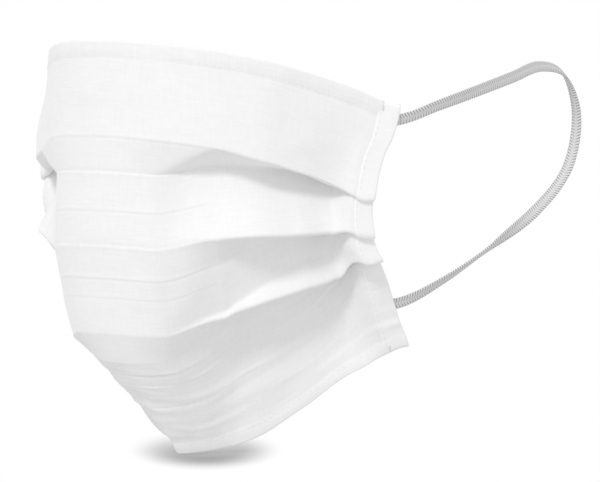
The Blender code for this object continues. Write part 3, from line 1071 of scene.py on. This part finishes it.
def make_floor(height):
    """Plain pale floor under the chin, which glows white outside an oval of painted shadow."""
    bpy.ops.mesh.primitive_plane_add(size=FLOOR_SIZE, location=(0.0, 0.0, height))
    floor = bpy.context.active_object
    floor.name = "floor"
    material, nodes, links, shader = new_material("pale_floor")
    look = {"Roughness": 0.9, "Specular IOR Level": 0.0, "Emission Strength": 1.0}
    set_inputs(shader, look)
    place = nodes.new("ShaderNodeTexCoord")
    oval = nodes.new("ShaderNodeMapping")
    oval.vector_type = "TEXTURE"
    turn = (0.0, 0.0, math.radians(VIEW_TURN))
    set_inputs(oval, {"Location": SHADOW_PLACE, "Rotation": turn, "Scale": SHADOW_SIZE})
    links.new(place.outputs["Object"], oval.inputs["Vector"])
    ball = nodes.new("ShaderNodeTexGradient")
    ball.gradient_type = "SPHERICAL"
    links.new(oval.outputs[0], ball.inputs["Vector"])
    shaded = map_range(nodes, links, ball.outputs["Fac"], (0.0, 0.0), (SHADOW_CORE, 1.0))
    shaded.interpolation_type = "SMOOTHSTEP"
    # The painted shadow is darkest on the viewer's side of the chin and thins away behind it
    depth = nodes.new("ShaderNodeSeparateXYZ")
    links.new(oval.outputs[0], depth.inputs[0])
    near, far = zip(SHADOW_DEPTHS, SHADOW_STRENGTHS)
    thinning = map_range(nodes, links, depth.outputs["Y"], near, far)
    mask = add_math(nodes, links, "MULTIPLY", shaded.outputs["Result"], thinning.outputs["Result"])
    # Painted shadow: inside the oval the floor stops glowing and shows a dark grey, which the scene's
    # real light and the mask's real shadow then fall on
    dark = add_math(nodes, links, "MULTIPLY", mask, PAINTED_SHADOW_GREY)
    glowing = add_math(nodes, links, "SUBTRACT", 1.0, mask)
    links.new(dark, shader.inputs["Base Color"])
    links.new(glowing, shader.inputs["Emission Color"])
    floor.data.materials.append(material)
    floor.visible_diffuse = False


def add_key_light():
    """Even light from one side, as soft as a wide overhead diffuser."""
    lamp = bpy.data.lights.new("high_key", "SUN")
    lamp.energy = KEY_STRENGTH
    lamp.angle = math.radians(KEY_SOFTNESS)
    holder = bpy.data.objects.new("high_key", lamp)
    holder.location = KEY_WAY
    holder.rotation_euler = Vector(KEY_WAY).to_track_quat("Z", "Y").to_euler()
    bpy.context.scene.collection.objects.link(holder)


def light_scene():
    """White surroundings, with softer light from them than the camera sees."""
    world = bpy.data.worlds.new("studio")
    world.use_nodes = True
    nodes = world.node_tree.nodes
    links = world.node_tree.links
    white = (*grey(1.0), 1.0)
    glow = nodes["Background"]
    glow.inputs["Color"].default_value = white
    way = nodes.new("ShaderNodeTexCoord")
    split = nodes.new("ShaderNodeSeparateXYZ")
    links.new(way.outputs["Generated"], split.inputs[0])
    below = (-1.0, LIGHT_FROM_BELOW)
    above = (1.0, LIGHT_FROM_ABOVE)
    height = map_range(nodes, links, split.outputs["Z"], below, above)
    links.new(height.outputs[0], glow.inputs["Strength"])
    seen = nodes.new("ShaderNodeBackground")
    set_inputs(seen, {"Color": white, "Strength": SEEN_WHITE})
    path = nodes.new("ShaderNodeLightPath")
    mix = nodes.new("ShaderNodeMixShader")
    links.new(path.outputs["Is Camera Ray"], mix.inputs[0])
    links.new(glow.outputs[0], mix.inputs[1])
    links.new(seen.outputs[0], mix.inputs[2])
    links.new(mix.outputs[0], nodes["World Output"].inputs["Surface"])
    bpy.context.scene.world = world
    add_key_light()
    bpy.context.scene.view_settings.view_transform = "Standard"


def place_camera():
    """Camera at the photograph's angle: from the wearer's left, a little above."""
    turn = math.radians(VIEW_TURN)
    rise = math.radians(VIEW_RISE)
    right = Vector((math.cos(turn), math.sin(turn), 0.0))
    level = Vector((-math.sin(turn), math.cos(turn), 0.0))
    ahead = level * math.cos(rise) - Vector((0.0, 0.0, math.sin(rise)))
    above = right.cross(ahead)
    middle = Vector(VIEW_MIDDLE)
    place = middle - ahead * VIEW_DISTANCE
    aim = middle + right * VIEW_SHIFT_RIGHT + above * VIEW_SHIFT_UP
    lens = bpy.data.cameras.new("photo_view")
    lens.sensor_width = SENSOR_WIDTH
    lens.lens = SENSOR_WIDTH * VIEW_DISTANCE / VIEW_WIDTH
    camera = bpy.data.objects.new("photo_view", lens)
    camera.location = place
    camera.rotation_euler = (aim - place).to_track_quat("-Z", "Y").to_euler()
    bpy.context.scene.collection.objects.link(camera)
    bpy.context.scene.camera = camera


def stitch_heights():
    """Height of the stitches above the cloth's middle, on the hems and on the bands."""
    stitched = np.array([TOP_HEM_HEIGHT - HEM_STITCH_INSET])
    return [float(hem_profile(stitched, TOP_HEM_HEIGHT, slope)[0]) for slope in (HEM_SLOPE, BAND_SLOPE)]


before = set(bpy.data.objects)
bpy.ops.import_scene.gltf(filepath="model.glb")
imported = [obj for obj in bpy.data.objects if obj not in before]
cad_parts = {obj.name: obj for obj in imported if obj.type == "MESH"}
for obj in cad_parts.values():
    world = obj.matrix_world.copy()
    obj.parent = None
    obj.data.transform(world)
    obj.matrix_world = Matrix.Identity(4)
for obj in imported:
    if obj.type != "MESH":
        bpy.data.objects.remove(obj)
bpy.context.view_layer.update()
clear_selection()

weave = weave_group()
cotton = cotton_material("woven_cotton", weave, 0.88, 0.92, 0.35)
# Painted shade: the hems get a slightly darker copy of the same cotton
hem_cotton_painted_shade = cotton_material("hem_cotton_painted_shade", weave, 0.87, 0.91, 0.35)
# Painted light: the side bands get a brighter copy of the same cotton, for the light that they catch
band_cotton_painted_light = cotton_material("band_cotton_painted_light", weave, 0.93, 0.96, 0.30)
thread = yarn_material("white_thread", 0.82, 0.90)
braid = braid_material("braided_elastic", rib_group())

panel = make_panel(cotton)
top_hem = make_hem("top_turned_hem", 0.0, TOP_HEM_HEIGHT, 1, hem_cotton_painted_shade)
bottom_hem = make_hem("bottom_turned_hem", CLOTH_HEIGHT, BOTTOM_HEM_HEIGHT, -1, hem_cotton_painted_shade)
left_band = make_side_band("left_side_band", 1, band_cotton_painted_light)
right_band = make_side_band("right_side_band", -1, band_cotton_painted_light)
on_hem, on_band = stitch_heights()
level_lines = [
    level_line(length, on_hem, facing)
    for length in (TOP_HEM_HEIGHT - HEM_STITCH_INSET, BOTTOM_HEM_START + HEM_STITCH_INSET)
    for facing in (1, -1)
]
hem_thread = make_stitches("hem_stitches", level_lines, thread)
band_lines = side_lines(1, on_band) + side_lines(-1, on_band)
band_thread = make_stitches("band_stitches", band_lines, thread)
left_elastic = make_elastic("left_braided_elastic", 1, braid)
right_elastic = make_elastic("right_braided_elastic", -1, braid)

for piece, node in (
    (panel, "pleated_panel"),
    (top_hem, "top_hem"),
    (bottom_hem, "bottom_hem"),
    (left_band, "side_hem_left"),
    (right_band, "side_hem_right"),
    (left_elastic, "ear_loop_left"),
    (right_elastic, "ear_loop_right"),
):
    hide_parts(node)
for piece in (panel, top_hem, bottom_hem, left_band, right_band, hem_thread, band_thread):
    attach(piece, "root")
for piece in (left_elastic, right_elastic):
    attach(piece, "root")

make_floor(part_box("bottom_hem")[0].z - FLOOR_CLEARANCE)
light_scene()
place_camera()
